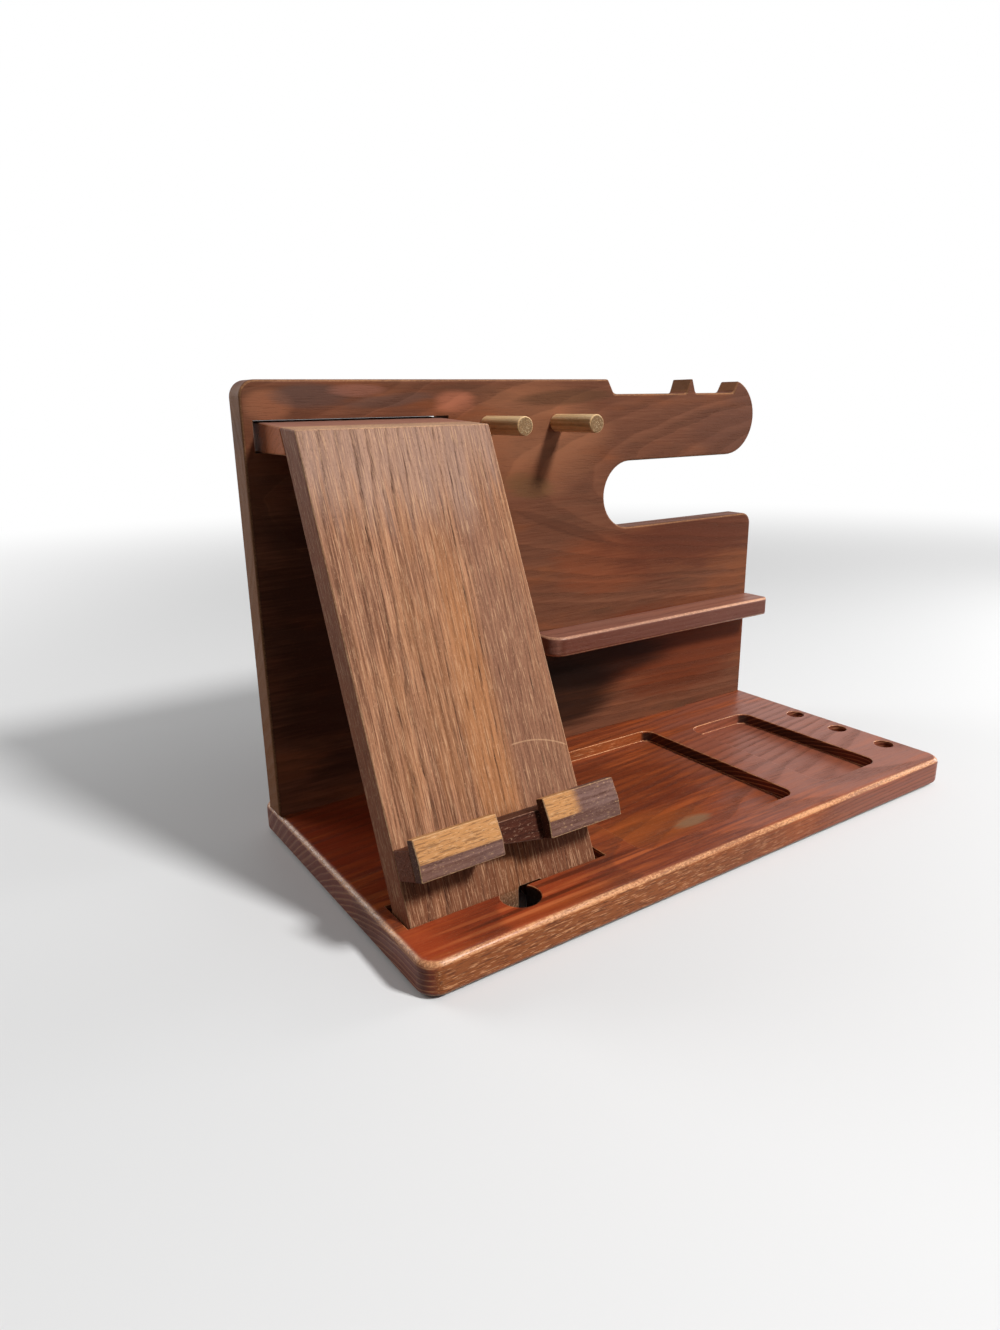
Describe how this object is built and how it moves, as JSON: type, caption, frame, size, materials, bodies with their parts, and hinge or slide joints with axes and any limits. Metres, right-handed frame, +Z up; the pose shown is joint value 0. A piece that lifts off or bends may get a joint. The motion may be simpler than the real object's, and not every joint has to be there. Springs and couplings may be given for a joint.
{
  "type": "desk valet organizer",
  "caption": "Wooden desk organizer with a leaning phone rest, an upright panel with a watch arm, a shelf and pegs, and shallow trays in its base.",
  "frame": {"origin": "centre of the outer box at the level of the surface that the felt pads stand on", "axes": "+X to the right along the base's length, +Y from the front edge to the back panel, +Z up"},
  "size_m": [0.289, 0.15, 0.192],
  "materials": {
    "stained_ash": "satin red-brown stain",
    "plate_ash": "satin stain, open pores",
    "dark_ash": "satin dark stain",
    "lip_ash": "satin stain, worn through",
    "peg_wood": "oiled bare wood",
    "dowel_beech": "bare fluted beech",
    "pad_felt": "pressed felt"
  },
  "bodies": {
    "root": {"base_board": "stained_ash", "back_panel": "stained_ash", "head_block": "stained_ash", "shelf": "stained_ash", "phone_plate": "plate_ash", "ledge_bar": "dark_ash", "lip_left": "lip_ash", "lip_right": "lip_ash", "peg_left": "peg_wood", "peg_right": "peg_wood", "head_dowel_left": "dowel_beech", "head_dowel_right": "dowel_beech", "ledge_dowel_left": "dowel_beech", "ledge_dowel_right": "dowel_beech", "shelf_dowel_left": "dowel_beech", "shelf_dowel_middle": "dowel_beech", "shelf_dowel_right": "dowel_beech", "foot_pad_front_left": "pad_felt", "foot_pad_front_right": "pad_felt", "foot_pad_back_left": "pad_felt", "foot_pad_back_right": "pad_felt"}
  },
  "joints": []
}
